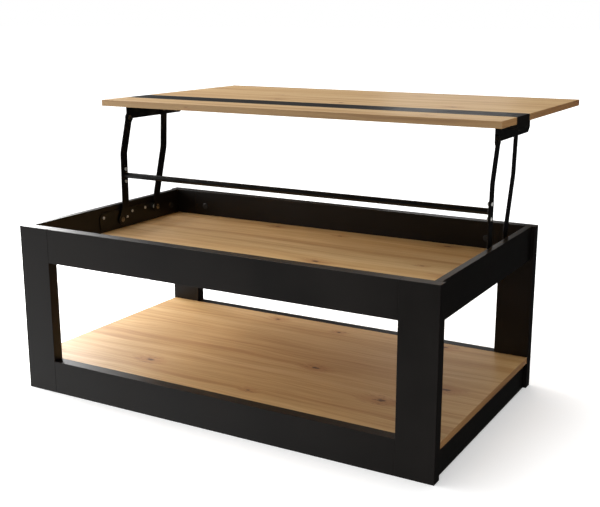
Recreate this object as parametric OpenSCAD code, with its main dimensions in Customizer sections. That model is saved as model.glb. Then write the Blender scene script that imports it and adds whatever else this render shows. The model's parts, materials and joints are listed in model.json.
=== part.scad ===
// Lift top coffee table: a black board frame with an oak shelf and a storage compartment,
// and an oak top with a black strip that swings up and to the rear on two pairs of steel arms.
// Millimetres. X runs left to right, Y front to rear, Z up. The origin is on the floor at the
// middle of the base. The top is drawn lifted, with the arms resting on their stops.

/* [Base] */
// Overall width of the base and of the top
table_w = 1100; // [900:10:1300]
// Overall depth of the base and of the top
table_d = 640; // [600:10:720]
// Height of the base, up to the top edge of its rails
base_h = 418; // [400:2:480]
// Width of a leg board
leg_w = 88; // [70:1:110]
// Thickness of the legs and of the front and rear rails
frame_t = 28; // [25:1:32]
// Height of the four top rails
top_rail_h = 84; // [80:1:100]
// Height of the front and rear bottom rails
bottom_rail_h = 82; // [70:1:100]
// Thickness of the side rails, the shelf, the storage floor and the two top boards
panel_t = 16; // [16:1:18]
// How far the outer face of a side rail stands back from the leg ends
side_inset = 8; // [6:1:12]
// How far the ends of the shelf stand back from the leg ends
shelf_inset = 1.5; // [0.5:0.5:4]

/* [Top] */
// Depth of the narrow board at the front of the top
narrow_d = 102.5; // [80:0.5:130]
// Depth of the black strip
strip_d = 95; // [80:0.5:110]
// Thickness of the black strip
strip_t = 28; // [28:1:32]
// Gap between the closed top and the side rails
closed_gap = 0.3; // [0.3:0.1:2]

/* [Lift arms] */
// Distance between the two pivots of an arm
arm_l = 278; // [272:1:284]
// Angle of a lifted arm, from the horizontal towards the rear
open_angle = 81; // [79:0.1:84]
// Angle of a folded arm, from the horizontal towards the rear
closed_angle = 175.8; // [175:0.1:176]
// Distance of a rear pivot behind the front one
pivot_gap = 147; // [145:0.5:149]
// Height of a rear pivot above the front one
pivot_step = 12.6; // [12:0.2:13]
// Height of the front lower pivot above the storage floor
pivot_rise = 24.4; // [24:0.2:25]
// Distance of the front lower pivot behind the middle of the base
pivot_y = 29.5; // [25:0.5:35]
// Width of an arm
arm_w = 26; // [24:1:27]
// Thickness of an arm
arm_t = 3; // [2.5:0.1:3]
// Thickness of the bracket plates
plate_t = 2.5; // [2:0.1:2.5]
// Thickness of the spacer between a lower bracket and the front arm
spacer_t = 2.3; // [2.2:0.1:2.6]
// Side gap between an arm and the upper bracket
side_gap = 0.5; // [0.4:0.1:0.8]
// Diameter of the pivot pins
pin_d = 8; // [6:0.5:8]
// Outer diameter of the crossbar
crossbar_d = 15; // [12:0.5:16]

/* [Hidden] */
$fn = 48;

// Fits and cutting allowance
pivot_fit = 0.08;
open_pivot_fit = 0.3;
hole_fit = 0.05;
head_gap = 0.25;
eps = 1;

// Colours
black_board = "#26231f";
oak = "#c9a06c";
black_steel = "#1b1b1c";
zinc = "silver";
dowel_wood = "#d9b98a";
nylon = "#e6e3da";
black_plastic = "#222224";

// Base levels and faces
half_w = table_w / 2;
half_d = table_d / 2;
inner_x = half_w - leg_w;
inner_y = half_d - frame_t;
side_out = half_w - side_inset;
side_in = side_out - panel_t;
shelf_z = bottom_rail_h - panel_t;
top_rail_z = base_h - top_rail_h;
floor_top = top_rail_z + panel_t;
top_mid = base_h - top_rail_h / 2;
bottom_mid = bottom_rail_h / 2;
side_bottom_mid = shelf_z / 2;

// Dowels: how far they reach into a rail's end and into the board that it meets
dowel_d = 8;
dowel_in_rail = 20;
dowel_in_leg = 12;
dowel_spare = 0.5;
end_spread = 25;
side_spread = 20;
panel_dowel_x = [-0.36, -0.12, 0.12, 0.36];
top_dowel_x = [-0.41, -0.14, 0.14, 0.41];

// Cam locks and their bolts
cam_d = 15;
cam_h = 12.5;
cam_back = 34;
cam_axis_depth = 8;
cam_slot = [9, 2.4, 2];
cap_d = 17;
cap_h = 1.2;
bolt_d = 5;
bolt_head_d = 7;
bolt_head_l = 3;
bolt_thread_d = 6;
bolt_thread_l = 11;

// Lift geometry, in the plane of the arms as [y, z]
arm_dir = [cos(open_angle), sin(open_angle)];
arm_front = [-sin(open_angle), cos(open_angle)];
lift_back = arm_l * (cos(open_angle) - cos(closed_angle));
lift_up = arm_l * (sin(open_angle) - sin(closed_angle));
front_low = [pivot_y, floor_top + pivot_rise];
rear_low = front_low + [pivot_gap, pivot_step];
front_high = front_low + arm_l * arm_dir;
rear_high = rear_low + arm_l * arm_dir;

// Top levels and board edges, lifted
strip_low = base_h + closed_gap + lift_up;
top_z = strip_low + strip_t;
board_low = top_z - panel_t;
top_front = lift_back - half_d;
strip_front = top_front + narrow_d;
strip_rear = strip_front + strip_d;
top_rear = top_front + table_d;

// Side by side layers of the mechanism, measured inwards from the side rail's inner face
front_arm_x = plate_t + spacer_t;
high_plate_x = front_arm_x + arm_t + side_gap;
rear_arm_x = high_plate_x + plate_t + side_gap;

// Eyes at the ends of an arm
eye_d = arm_w + 3;

// Arm centrelines as [distance along the arm, offset to the front], with two bends in each arm
// that are given as [share of the arm's length, offset]
front_bends = [[0.135, -9.4], [0.654, 12.2]];
rear_bends = [[0.12, 8], [0.62, -10]];
front_route = [[0, 0], for (b = front_bends) [b.x * arm_l, b.y], [arm_l, 0]];
rear_route = [[0, 0], for (b = rear_bends) [b.x * arm_l, b.y], [arm_l, 0]];

// Crossbar on the straight stretch between the bends of the front arms, with a bolted flange at
// each end. It stands a share of the way from the lower bend to the upper one.
crossbar_share = 0.584;
low_bend = front_low + on_arm(front_route[1].x, front_route[1].y);
high_bend = front_low + on_arm(front_route[2].x, front_route[2].y);
crossbar_at = low_bend + crossbar_share * (high_bend - low_bend);
crossbar_wall = 1.5;
crossbar_end = side_in - front_arm_x - arm_t;
flange_t = 2.5;
flange_l = 54;
flange_w = 18;
flange_r = 7;
flange_dir = unit(high_bend - low_bend);
flange_side = turned(flange_dir);
flange_bolt_s = 17;
flange_bolt_d = 5;
flange_head_d = 9;
flange_head_top_d = 6.3;
flange_head_h = 1.7;
flange_bolt_grip = arm_t + flange_t;
nut_d = 9.2;
nut_h = 4;

// Wood screws and rivets
screw_d = 4;
screw_l = 13;
screw_tip = 2;
screw_tip_d = 1;
screw_head_d = 8;
screw_head_top_d = 4.8;
screw_head_h = 1.8;
rivet_head_d = 14;
rivet_head_h = 1.7;
spacer_d = 14;

// Lower bracket plate on the side rail, with its screws as [y, z]. The steps are the screws'
// distances behind the front pivot.
low_plate_ahead = 87;
low_plate_behind = 26;
low_plate_rise = 3;
low_plate_drop = 15;
low_plate_r = 14;
low_screw_drop = 13;
low_screw_steps = [-72, 47, 104, 162];
low_plate_front = front_low.x - low_plate_ahead;
low_plate_rear = rear_low.x + low_plate_behind;
low_plate_low = floor_top + low_plate_rise;
low_plate_top = base_h - low_plate_drop;
low_screw_z = low_plate_top - low_screw_drop;
low_screws = [for (step = low_screw_steps) [front_low.x + step, low_screw_z]];

// Stop pin behind the lifted front arm
stop_d = 7;
stop_gap = 0.4;
stop_s = 12;
stop_n = (arm_w + stop_d) / 2 + stop_gap;
foot_dir = unit(low_bend - front_low);
stop_at = front_low + stop_s * foot_dir - stop_n * turned(foot_dir);

// Upper bracket: an angle bar under the boards, with a round lobe at the front pivot and with its
// screws along its length. The steps are the screws' distances behind the bar's front end.
high_lobe_d = 25;
high_plate_l = 251.5;
high_plate_hang = 15.5;
high_chamfer = 12;
high_flange_w = 26;
high_screw_steps = [11.5, 31.5, 67.5, 175.5, 215.5];
high_plate_front = front_high.x - high_lobe_d / 2;
high_plate_rear = high_plate_front + high_plate_l;
high_plate_low = rear_high.y - high_plate_hang;
high_flange_z = board_low - plate_t;
high_flange_mid = high_plate_x + plate_t + (high_flange_w - plate_t) / 2;
high_screws = [for (step = high_screw_steps) [high_flange_mid, high_plate_front + step]];
notch_side = 4;

// A step from the lower pivot: s along the lifted arm and n towards the front
function on_arm(s, n) = s * arm_dir + n * arm_front;
function unit(v) = v / norm(v);
function turned(v) = [-v.y, v.x];

// ---------- placing ----------

// Mirrors a shape drawn for the right or the rear to the side asked for
module to_side(sx) {
    mirror([sx < 0 ? 1 : 0, 0, 0]) children();
}

module to_corner(sx, sy) {
    mirror([sx < 0 ? 1 : 0, 0, 0])
        mirror([0, sy < 0 ? 1 : 0, 0])
            children();
}

module all_corners() {
    for (sx = [-1, 1])
        for (sy = [-1, 1])
            to_corner(sx, sy) children();
}

// Joint frames at a rail's end: X runs into the leg and Y faces the inside of the table
module end_rail_joint(z) {
    translate([inner_x, half_d - frame_t / 2, z])
        mirror([0, 1, 0])
            children();
}

module side_rail_joint(z) {
    translate([side_out - panel_t / 2, inner_y, z])
        rotate([0, 0, 90])
            children();
}

// A mechanism frame on the right side: X runs inwards from the side rail's inner face
module on_side_rail(sx) {
    to_side(sx)
        translate([side_in, 0, 0])
            mirror([1, 0, 0])
                children();
}

// A disc or shaft along X, from x to x + l, at a [y, z] point
module shaft(at, x, l, d) {
    translate([x, at.x, at.y])
        rotate([0, 90, 0])
            cylinder(d = d, h = l);
}

// A shaft along Y, from y to y + l, at an [x, z] point
module shaft_y(at, y, l, d) {
    translate([at.x, y, at.y])
        rotate([-90, 0, 0])
            cylinder(d = d, h = l);
}

// ---------- frame fittings ----------

module joint_dowels(spread, fit = 0, spare = 0) {
    for (z = [-spread, spread])
        shaft([0, z], -dowel_in_rail - spare, dowel_in_rail + dowel_in_leg + 2 * spare, dowel_d + 2 * fit);
}

module joint_bolt(half_t) {
    y = half_t - cam_axis_depth;
    shaft([y, 0], 0, bolt_thread_l, bolt_thread_d);
    shaft([y, 0], -cam_back, cam_back, bolt_d);
    shaft([y, 0], -cam_back - bolt_head_l / 2, bolt_head_l, bolt_head_d);
}

module joint_bolt_hole(half_t) {
    y = half_t - cam_axis_depth;
    shaft([y, 0], -eps, bolt_thread_l + dowel_spare + eps, bolt_thread_d + 2 * hole_fit);
    shaft([y, 0], -cam_back, cam_back, bolt_head_d + 2 * hole_fit);
}

module joint_cam(half_t) {
    difference() {
        translate([-cam_back, half_t, 0])
            rotate([90, 0, 0])
                cylinder(d = cam_d, h = cam_h);
        shaft([half_t - cam_axis_depth, 0], -cam_back - bolt_head_l, cam_d, bolt_head_d + 2 * hole_fit);
        for (a = [0, 90])
            translate([-cam_back, half_t, 0])
                rotate([0, a, 0])
                    cube(cam_slot, center = true);
    }
}

// A cover cap pressed onto the cam lock, with its disc on the rail's inner face
module joint_cap(half_t) {
    shaft_y([-cam_back, 0], half_t, cap_h, cap_d);
}

module joint_cam_pocket(half_t) {
    translate([-cam_back, half_t + eps, 0])
        rotate([90, 0, 0])
            cylinder(d = cam_d + 2 * hole_fit, h = cam_h + dowel_spare + eps);
}

module joint_holes(half_t, spread) {
    joint_dowels(spread, hole_fit, dowel_spare);
    joint_bolt_hole(half_t);
    joint_cam_pocket(half_t);
}

module end_joints_of(z, spread) {
    end_rail_joint(z) joint_holes(frame_t / 2, spread);
}

module side_joints_of(z, spread) {
    side_rail_joint(z) joint_holes(panel_t / 2, spread);
}

// Dowels between a panel's long edges and the front and rear rails
module panel_dowel_row(z, fit = 0, spare = 0) {
    for (sy = [-1, 1])
        for (f = panel_dowel_x)
            to_corner(1, sy)
                shaft_y(
                    [f * table_w, z],
                    inner_y - dowel_in_rail - spare,
                    dowel_in_rail + dowel_in_leg + 2 * spare,
                    dowel_d + 2 * fit
                );
}

// ---------- boards ----------

module board(low, high) {
    translate(low) cube(high - low);
}

module leg(sx, sy) {
    color(black_board)
        to_corner(sx, sy)
            difference() {
                board([inner_x, inner_y, 0], [half_w, half_d, base_h]);
                end_joints_of(top_mid, end_spread);
                end_joints_of(bottom_mid, end_spread);
                side_joints_of(top_mid, end_spread);
                side_joints_of(side_bottom_mid, side_spread);
            }
}

// Front or rear rail between two legs, with holes for the panel that it carries
module end_rail(sy, low, high, panel_z) {
    color(black_board)
        difference() {
            to_corner(1, sy)
                board([-inner_x, inner_y, low], [inner_x, half_d, high]);
            for (sx = [-1, 1])
                to_corner(sx, sy) end_joints_of((low + high) / 2, end_spread);
            panel_dowel_row(panel_z, hole_fit, dowel_spare);
        }
}

module side_rail(sx, low, high, spread) {
    color(black_board)
        difference() {
            to_side(sx)
                board([side_in, -inner_y, low], [side_out, inner_y, high]);
            for (sy = [-1, 1])
                to_corner(sx, sy) side_joints_of((low + high) / 2, spread);
            children();
        }
}

module side_top_rail(sx) {
    side_rail(sx, top_rail_z, base_h, end_spread)
        lower_screw_holes(sx);
}

module shelf_panel() {
    color(oak)
        difference() {
            board([shelf_inset - half_w, -inner_y, shelf_z], [half_w - shelf_inset, inner_y, bottom_rail_h]);
            panel_dowel_row(shelf_z + panel_t / 2, hole_fit, dowel_spare);
        }
}

module storage_floor() {
    color(oak)
        difference() {
            board([-side_in, -inner_y, top_rail_z], [side_in, inner_y, floor_top]);
            panel_dowel_row(top_rail_z + panel_t / 2, hole_fit, dowel_spare);
        }
}

module frame_dowels() {
    color(dowel_wood)
        all_corners() {
            for (z = [top_mid, bottom_mid])
                end_rail_joint(z) joint_dowels(end_spread);
            side_rail_joint(top_mid) joint_dowels(end_spread);
            side_rail_joint(side_bottom_mid) joint_dowels(side_spread);
        }
}

module frame_cam_bolts() {
    color(zinc)
        all_corners() {
            for (z = [top_mid, bottom_mid])
                end_rail_joint(z) joint_bolt(frame_t / 2);
            for (z = [top_mid, side_bottom_mid])
                side_rail_joint(z) joint_bolt(panel_t / 2);
        }
}

module frame_cam_locks() {
    color(zinc)
        all_corners() {
            for (z = [top_mid, bottom_mid])
                end_rail_joint(z) joint_cam(frame_t / 2);
            for (z = [top_mid, side_bottom_mid])
                side_rail_joint(z) joint_cam(panel_t / 2);
        }
}

module frame_cam_caps() {
    color(black_plastic)
        all_corners() {
            for (z = [top_mid, bottom_mid])
                end_rail_joint(z) joint_cap(frame_t / 2);
            for (z = [top_mid, side_bottom_mid])
                side_rail_joint(z) joint_cap(panel_t / 2);
        }
}

module panel_dowels() {
    color(dowel_wood) {
        panel_dowel_row(shelf_z + panel_t / 2);
        panel_dowel_row(top_rail_z + panel_t / 2);
    }
}

// ---------- lower brackets ----------

module lower_plate() {
    difference() {
        hull()
            for (y = [low_plate_front + low_plate_r, low_plate_rear - low_plate_r])
                for (z = [low_plate_low + low_plate_r, low_plate_top - low_plate_r])
                    shaft([y, z], 0, plate_t, 2 * low_plate_r);
        for (p = [front_low, rear_low])
            shaft(p, -eps, plate_t + 2 * eps, pin_d + 2 * pivot_fit);
        for (p = low_screws)
            shaft(p, -eps, plate_t + 2 * eps, screw_d + 2 * hole_fit);
        shaft(stop_at, -eps, plate_t + 2 * eps, stop_d + 2 * hole_fit);
    }
}

module lower_bracket(sx) {
    color(black_steel)
        on_side_rail(sx) lower_plate();
}

// A pan head screw along X whose head seats at x = 0 and whose point is at negative x
module wood_screw() {
    rotate([0, -90, 0]) {
        cylinder(d = screw_d, h = screw_l - screw_tip);
        translate([0, 0, screw_l - screw_tip])
            cylinder(d1 = screw_d, d2 = screw_tip_d, h = screw_tip);
        translate([0, 0, -screw_head_h])
            cylinder(d1 = screw_head_top_d, d2 = screw_head_d, h = screw_head_h);
    }
}

module lower_bracket_screws() {
    color(zinc)
        for (sx = [-1, 1])
            on_side_rail(sx)
                for (p = low_screws)
                    translate([plate_t, p.x, p.y]) wood_screw();
}

module lower_screw_holes(sx) {
    on_side_rail(sx)
        for (p = low_screws)
            shaft(p, -screw_l, screw_l + eps, screw_d + 2 * hole_fit);
}

// A rivet along X with a head at its inner end; x is where the shank starts and l is its length
module rivet(at, x, l) {
    shaft(at, x, l, pin_d);
    shaft(at, x + l, rivet_head_h, rivet_head_d);
}

// The outer end of a lower rivet is flush with the bracket, because the side rail is behind it
module lower_rivets(at, arm_x) {
    color(zinc)
        for (sx = [-1, 1])
            on_side_rail(sx)
                rivet(at, 0, arm_x + arm_t + head_gap);
}

// A nylon spacer on a lower rivet, between the bracket and the arm
module lower_spacers(at, arm_x) {
    color(nylon)
        for (sx = [-1, 1])
            on_side_rail(sx)
                difference() {
                    shaft(at, plate_t, arm_x - plate_t - head_gap, spacer_d);
                    shaft(at, 0, arm_x, pin_d + 2 * hole_fit);
                }
}

module arm_stop_pins() {
    color(zinc)
        for (sx = [-1, 1])
            on_side_rail(sx)
                shaft(stop_at, 0, front_arm_x + arm_t, stop_d);
}

// ---------- arms ----------

function side_of(r, i) = turned(unit(r[i + 1] - r[i]));
function mitre(a, b) = (a + b) / (1 + a * b);
function across(r, i) =
    i == 0 ? side_of(r, 0)
    : i == len(r) - 1 ? side_of(r, i - 1)
    : mitre(side_of(r, i - 1), side_of(r, i));

// A flat bar that follows a route of [s, n] points from a lower pivot, with an eye at each end
module flat_bar(low, route, x) {
    path = [for (p = route) low + on_arm(p.x, p.y)];
    last = len(path) - 1;
    one_edge = [for (i = [0 : last]) path[i] + arm_w / 2 * across(path, i)];
    other_edge = [for (i = [last : -1 : 0]) path[i] - arm_w / 2 * across(path, i)];
    translate([x, 0, 0])
        rotate([90, 0, 90])
            linear_extrude(arm_t)
                polygon(concat(one_edge, other_edge));
    for (p = [path[0], path[last]])
        shaft(p, x, arm_t, eye_d);
}

module arm_bore(at, x, fit) {
    shaft(at, x - eps, arm_t + 2 * eps, pin_d + 2 * fit);
}

// A point on a flange: s along the arm and n across it
function on_flange(s, n) = crossbar_at + s * flange_dir + n * flange_side;
function flange_bolt(k) = on_flange(k * flange_bolt_s, 0);

module flange_bolt_hole(k, x, l) {
    shaft(flange_bolt(k), x - eps, l + 2 * eps, flange_bolt_d + 2 * hole_fit);
}

module front_arm(sx) {
    color(black_steel)
        on_side_rail(sx)
            difference() {
                flat_bar(front_low, front_route, front_arm_x);
                arm_bore(front_low, front_arm_x, pivot_fit);
                arm_bore(front_high, front_arm_x, pivot_fit);
                for (k = [-1, 1])
                    flange_bolt_hole(k, front_arm_x, arm_t);
            }
}

// The rear arm's upper bore is wide, because the linkage is held by the other three pivots
module rear_arm(sx) {
    color(black_steel)
        on_side_rail(sx)
            difference() {
                flat_bar(rear_low, rear_route, rear_arm_x);
                arm_bore(rear_low, rear_arm_x, pivot_fit);
                arm_bore(rear_high, rear_arm_x, open_pivot_fit);
            }
}

module crossbar_flange() {
    hull()
        for (s = [-1, 1])
            for (n = [-1, 1])
                shaft(
                    on_flange(s * (flange_l / 2 - flange_r), n * (flange_w / 2 - flange_r)),
                    crossbar_end - flange_t,
                    flange_t,
                    2 * flange_r
                );
}

module arm_crossbar() {
    color(black_steel)
        difference() {
            union() {
                shaft(crossbar_at, -crossbar_end, 2 * crossbar_end, crossbar_d);
                for (sx = [-1, 1])
                    to_side(sx) crossbar_flange();
            }
            shaft(crossbar_at, -crossbar_end - eps, 2 * (crossbar_end + eps), crossbar_d - 2 * crossbar_wall);
            for (sx = [-1, 1])
                for (k = [-1, 1])
                    to_side(sx)
                        flange_bolt_hole(k, crossbar_end - flange_t, flange_t);
        }
}

module crossbar_bolts() {
    color(zinc)
        for (sx = [-1, 1])
            on_side_rail(sx)
                for (k = [-1, 1]) {
                    shaft(flange_bolt(k), front_arm_x, flange_bolt_grip + nut_h, flange_bolt_d);
                    translate([front_arm_x - flange_head_h, flange_bolt(k).x, flange_bolt(k).y])
                        rotate([0, 90, 0])
                            cylinder(d1 = flange_head_top_d, d2 = flange_head_d, h = flange_head_h);
                }
}

module crossbar_nuts() {
    color(zinc)
        for (sx = [-1, 1])
            on_side_rail(sx)
                for (k = [-1, 1])
                    difference() {
                        translate([front_arm_x + flange_bolt_grip, flange_bolt(k).x, flange_bolt(k).y])
                            rotate([0, 90, 0])
                                cylinder(d = nut_d, h = nut_h, $fn = 6);
                        flange_bolt_hole(k, front_arm_x + flange_bolt_grip, nut_h);
                    }
}

// ---------- top ----------

module top_dowel_row(fit = 0, spare = 0) {
    for (y = [strip_front, strip_rear])
        for (f = top_dowel_x)
            shaft_y(
                [f * table_w, board_low + panel_t / 2],
                y - dowel_in_rail - spare,
                2 * dowel_in_rail + 2 * spare,
                dowel_d + 2 * fit
            );
}

module top_screw_holes() {
    for (sx = [-1, 1])
        on_side_rail(sx)
            for (p = high_screws)
                translate([p.x, p.y, board_low - eps])
                    cylinder(d = screw_d + 2 * hole_fit, h = screw_l + eps);
}

module top_board(front, rear) {
    color(oak)
        difference() {
            board([-half_w, front, board_low], [half_w, rear, top_z]);
            top_dowel_row(hole_fit, dowel_spare);
            top_screw_holes();
        }
}

// The strip is notched underneath where the upper brackets cross it
module top_centre_strip() {
    color(black_board)
        difference() {
            board([-half_w, strip_front, strip_low], [half_w, strip_rear, top_z]);
            for (sx = [-1, 1])
                on_side_rail(sx)
                    board(
                        [high_plate_x - notch_side, strip_front - eps, strip_low - eps],
                        [high_plate_x + high_flange_w + notch_side, strip_rear + eps, board_low]
                    );
            top_dowel_row(hole_fit, dowel_spare);
            top_screw_holes();
        }
}

module top_dowels() {
    color(dowel_wood) top_dowel_row();
}

// ---------- upper brackets ----------

module upper_bracket_outline() {
    polygon([
        [high_plate_front, front_high.y],
        [front_high.x, front_high.y],
        [front_high.x, high_plate_low],
        [high_plate_rear - high_chamfer, high_plate_low],
        [high_plate_rear, high_plate_low + high_chamfer],
        [high_plate_rear, board_low],
        [high_plate_front, board_low]
    ]);
    translate(front_high) circle(d = high_lobe_d);
}

// An angle bar: a plate in the plane of the arms and a flange under the boards
module upper_bracket(sx) {
    color(black_steel)
        on_side_rail(sx)
            difference() {
                union() {
                    translate([high_plate_x, 0, 0])
                        rotate([90, 0, 90])
                            linear_extrude(plate_t)
                                upper_bracket_outline();
                    board(
                        [high_plate_x, high_plate_front, high_flange_z],
                        [high_plate_x + high_flange_w, high_plate_rear, board_low]
                    );
                }
                for (p = [front_high, rear_high])
                    shaft(p, high_plate_x - eps, plate_t + 2 * eps, pin_d + 2 * hole_fit);
                for (p = high_screws)
                    translate([p.x, p.y, high_flange_z - eps])
                        cylinder(d = screw_d + 2 * hole_fit, h = plate_t + 2 * eps);
            }
}

module upper_bracket_screws() {
    color(zinc)
        for (sx = [-1, 1])
            on_side_rail(sx)
                for (p = high_screws)
                    translate([p.x, p.y, high_flange_z])
                        rotate([0, 90, 0]) wood_screw();
}

// Outer head on the front arm, inner head on the bracket plate
module upper_front_pivots() {
    shank_x = front_arm_x - head_gap;
    color(zinc)
        for (sx = [-1, 1])
            on_side_rail(sx) {
                rivet(front_high, shank_x, high_plate_x + plate_t - shank_x);
                shaft(front_high, shank_x - rivet_head_h, rivet_head_h, rivet_head_d);
            }
}

// Outer head on the bracket plate, inner head on the rear arm
module upper_rear_pivots() {
    color(zinc)
        for (sx = [-1, 1])
            on_side_rail(sx) {
                rivet(rear_high, high_plate_x, plate_t + side_gap + arm_t + head_gap);
                shaft(rear_high, high_plate_x - rivet_head_h, rivet_head_h, rivet_head_d);
            }
}

// ---------- nodes ----------

leg(-1, -1);  // front_left_leg
leg(1, -1);  // front_right_leg
leg(-1, 1);  // rear_left_leg
leg(1, 1);  // rear_right_leg
end_rail(-1, top_rail_z, base_h, top_rail_z + panel_t / 2);  // front_top_rail
end_rail(1, top_rail_z, base_h, top_rail_z + panel_t / 2);  // rear_top_rail
end_rail(-1, 0, bottom_rail_h, shelf_z + panel_t / 2);  // front_bottom_rail
end_rail(1, 0, bottom_rail_h, shelf_z + panel_t / 2);  // rear_bottom_rail
side_top_rail(-1);  // left_top_rail
side_top_rail(1);  // right_top_rail
side_rail(-1, 0, shelf_z, side_spread);  // left_bottom_rail
side_rail(1, 0, shelf_z, side_spread);  // right_bottom_rail
shelf_panel();
storage_floor();
frame_dowels();
frame_cam_bolts();
frame_cam_locks();
frame_cam_caps();
panel_dowels();
lower_bracket(-1);  // left_lower_bracket
lower_bracket(1);  // right_lower_bracket
lower_bracket_screws();
lower_rivets(front_low, front_arm_x);  // lower_front_pivots
lower_rivets(rear_low, rear_arm_x);  // lower_rear_pivots
lower_spacers(front_low, front_arm_x);  // front_arm_spacers
lower_spacers(rear_low, rear_arm_x);  // rear_arm_spacers
arm_stop_pins();
front_arm(-1);  // left_front_arm
front_arm(1);  // right_front_arm
arm_crossbar();
crossbar_bolts();
crossbar_nuts();
rear_arm(-1);  // left_rear_arm
rear_arm(1);  // right_rear_arm
top_board(top_front, strip_front);  // narrow_top_board
top_centre_strip();
top_board(strip_rear, top_rear);  // wide_top_board
top_dowels();
upper_bracket(-1);  // left_upper_bracket
upper_bracket(1);  // right_upper_bracket
upper_bracket_screws();
upper_front_pivots();
upper_rear_pivots();
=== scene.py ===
"""Looks of the lift top coffee table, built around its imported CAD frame.

Metres. X runs left to right, Y front to rear, Z up. Places come from the boxes of the CAD nodes.
"""

import json
import math

import bmesh
import bpy
from mathutils import Matrix, Vector
from mathutils.geometry import tessellate_polygon


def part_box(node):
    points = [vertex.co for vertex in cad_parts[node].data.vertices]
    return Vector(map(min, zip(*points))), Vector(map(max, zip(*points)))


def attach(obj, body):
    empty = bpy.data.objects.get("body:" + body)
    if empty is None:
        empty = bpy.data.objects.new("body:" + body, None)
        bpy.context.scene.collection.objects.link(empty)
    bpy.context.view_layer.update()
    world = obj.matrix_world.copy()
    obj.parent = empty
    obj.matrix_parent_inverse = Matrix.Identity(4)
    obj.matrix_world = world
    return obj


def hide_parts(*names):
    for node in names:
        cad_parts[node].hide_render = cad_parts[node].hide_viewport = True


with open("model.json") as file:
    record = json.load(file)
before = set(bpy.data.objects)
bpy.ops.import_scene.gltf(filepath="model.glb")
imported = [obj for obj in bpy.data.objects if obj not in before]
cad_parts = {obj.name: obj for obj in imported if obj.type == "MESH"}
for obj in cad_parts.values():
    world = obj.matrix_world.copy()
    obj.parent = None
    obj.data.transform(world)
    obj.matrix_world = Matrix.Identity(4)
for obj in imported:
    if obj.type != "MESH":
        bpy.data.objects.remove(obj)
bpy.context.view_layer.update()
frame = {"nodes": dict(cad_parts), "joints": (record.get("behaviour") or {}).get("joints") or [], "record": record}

MM = 0.001
SIDES = (-1, 1)
SIDE_NAMES = {-1: "left", 1: "right"}
JOINT_AT = {j["name"]: Vector(j["pos_m"]) for j in frame["joints"]}

# Edge radii, and how square to an axis a face's normal is when the face counts as flat
BOARD_ROUND = 0.7 * MM
PLATE_ROUND = 0.5 * MM
FLAT = 0.9999

# Flat steel arms: width, eye diameter and bends, as [share of the length, offset to the front]
ARM_WIDTH = 26 * MM
EYE_D = 29 * MM
ARM_LENGTH = 278 * MM
ARM_ANGLE = math.radians(81)
FRONT_BENDS = [(0.135, -9.4 * MM), (0.654, 12.2 * MM)]
REAR_BENDS = [(0.12, 8 * MM), (0.62, -10 * MM)]
BEND_RADIUS = 55 * MM

# Pins and their heads
PIN_D = 8 * MM
PIN_FIT = 0.08 * MM
RIVET_HEAD_D = 14 * MM
RIVET_HEAD_H = 1.7 * MM
RIVET_RIM = 0.4 * MM
HEAD_GAP = 0.25 * MM

# Brackets. The lower plate's screws are placed behind the front pivot, and the upper bar's behind
# its own front end. UPPER_HANG is how far the bar reaches below its rear pivot.
PLATE_T = 2.5 * MM
LOWER_PLATE_CORNER = 14 * MM
LOWER_SCREW_DROP = 13 * MM
LOWER_SCREW_STEPS = [-72 * MM, 47 * MM, 104 * MM, 162 * MM]
UPPER_SCREW_STEPS = [11.5 * MM, 31.5 * MM, 67.5 * MM, 175.5 * MM, 215.5 * MM]
UPPER_LOBE_D = 25 * MM
UPPER_HANG = 15.5 * MM
UPPER_CHAMFER = 12 * MM
UPPER_BEND = 3.5 * MM

# Pan head screws with a cross recess and a ringed shank. Each is turned past the one before by a
# spin in radians.
SCREW_D = 4 * MM
SCREW_L = 13 * MM
SCREW_HEAD_D = 8 * MM
SCREW_HEAD_H = 1.8 * MM
SCREW_RIM = 0.5 * MM
NECK_H = 0.4 * MM
RECESS_L = 4.4 * MM
RECESS_W = 0.9 * MM
RECESS_DEPTH = 1 * MM
THREAD_TURNS = 8
THREAD_ENDS = 2 * MM
THREAD_TOP = 0.45 * MM
THREAD_ROOT_R = 1.4 * MM
CREST_AT = 0.45
TIP_R = 0.5 * MM
TIP_H = 1.5 * MM
FIRST_SPIN = 0.4
LOWER_SCREW_SPIN = 0.9
UPPER_SCREW_SPIN = 0.7

# Crossbar, a share of the way between the front arms' bends, with a welded flange at each end
CROSSBAR_SHARE = 0.584
CROSSBAR_D = 15 * MM
CROSSBAR_WALL = 1.5 * MM
FLANGE_L = 54 * MM
FLANGE_W = 18 * MM
FLANGE_CORNER = 7 * MM
FLANGE_T = 2.5 * MM
BEAD = 2.2 * MM
BEAD_SINK = 0.1 * MM
BEAD_ROOT = 0.3 * MM
BEAD_STEPS = 6
BEAD_RIPPLES = 18
BEAD_RIPPLE = 0.03
BOLT_STEP = 17 * MM
BOLT_D = 5 * MM
BOLT_HEAD_D = 9 * MM
BOLT_HEAD_H = 1.7 * MM
BOLT_RIM = 0.35 * MM
NUT_D = 9.2 * MM
NUT_H = 4 * MM
NUT_CHAMFER_H = 1.3 * MM
NUT_FACE_SHARE = 0.86
NUT_SPIN = 0.35

# Cover caps of the cam locks: a domed rim round a shallow dish, as [radius, height]
CAM_BACK = 34 * MM
CAP_R = 8.5 * MM
CAP_H = 1.2 * MM
CAP_PROFILE = [
    (0, 0), (CAP_R, 0), (CAP_R, 0.35 * MM), (CAP_R - 0.5 * MM, 0.85 * MM),
    (CAP_R - 1.6 * MM, CAP_H), (2.4 * MM, CAP_H), (2.0 * MM, 0.8 * MM), (0, 0.75 * MM),
]

# Notches under the centre strip, wider than the brackets
NOTCH_SIDE = 4 * MM

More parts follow.
